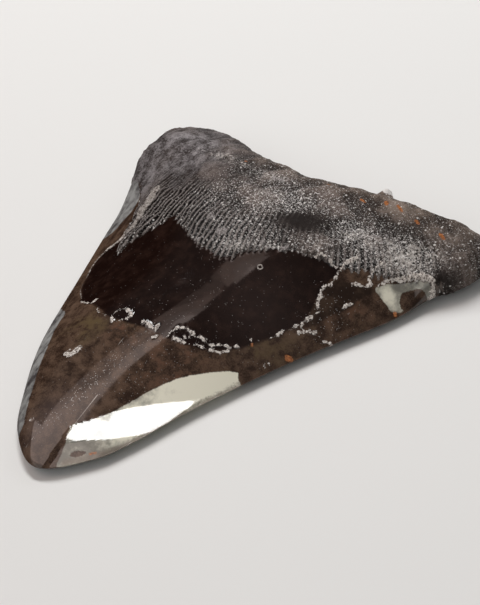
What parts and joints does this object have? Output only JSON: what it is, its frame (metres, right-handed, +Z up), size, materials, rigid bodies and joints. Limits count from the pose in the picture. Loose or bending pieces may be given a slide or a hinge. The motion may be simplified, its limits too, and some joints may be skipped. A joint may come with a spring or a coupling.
{
  "type": "fossil megalodon tooth",
  "caption": "Large triangular fossil shark tooth, polished dark crown and rough bilobed root, lying flat with its domed inner face up.",
  "frame": {"origin": "centre of the tooth's footprint, on the surface that it lies on", "axes": "+Z up out of the domed inner (lingual) face, +Y along the tooth from the crown's tip to the root, +X to the longer root lobe"},
  "size_m": [0.1106, 0.1228, 0.0228],
  "materials": {
    "tooth": "polished dark brown crown with cream enamel patches, matt grey-brown granular root"
  },
  "bodies": {
    "root": {"tooth": "tooth"}
  },
  "joints": []
}
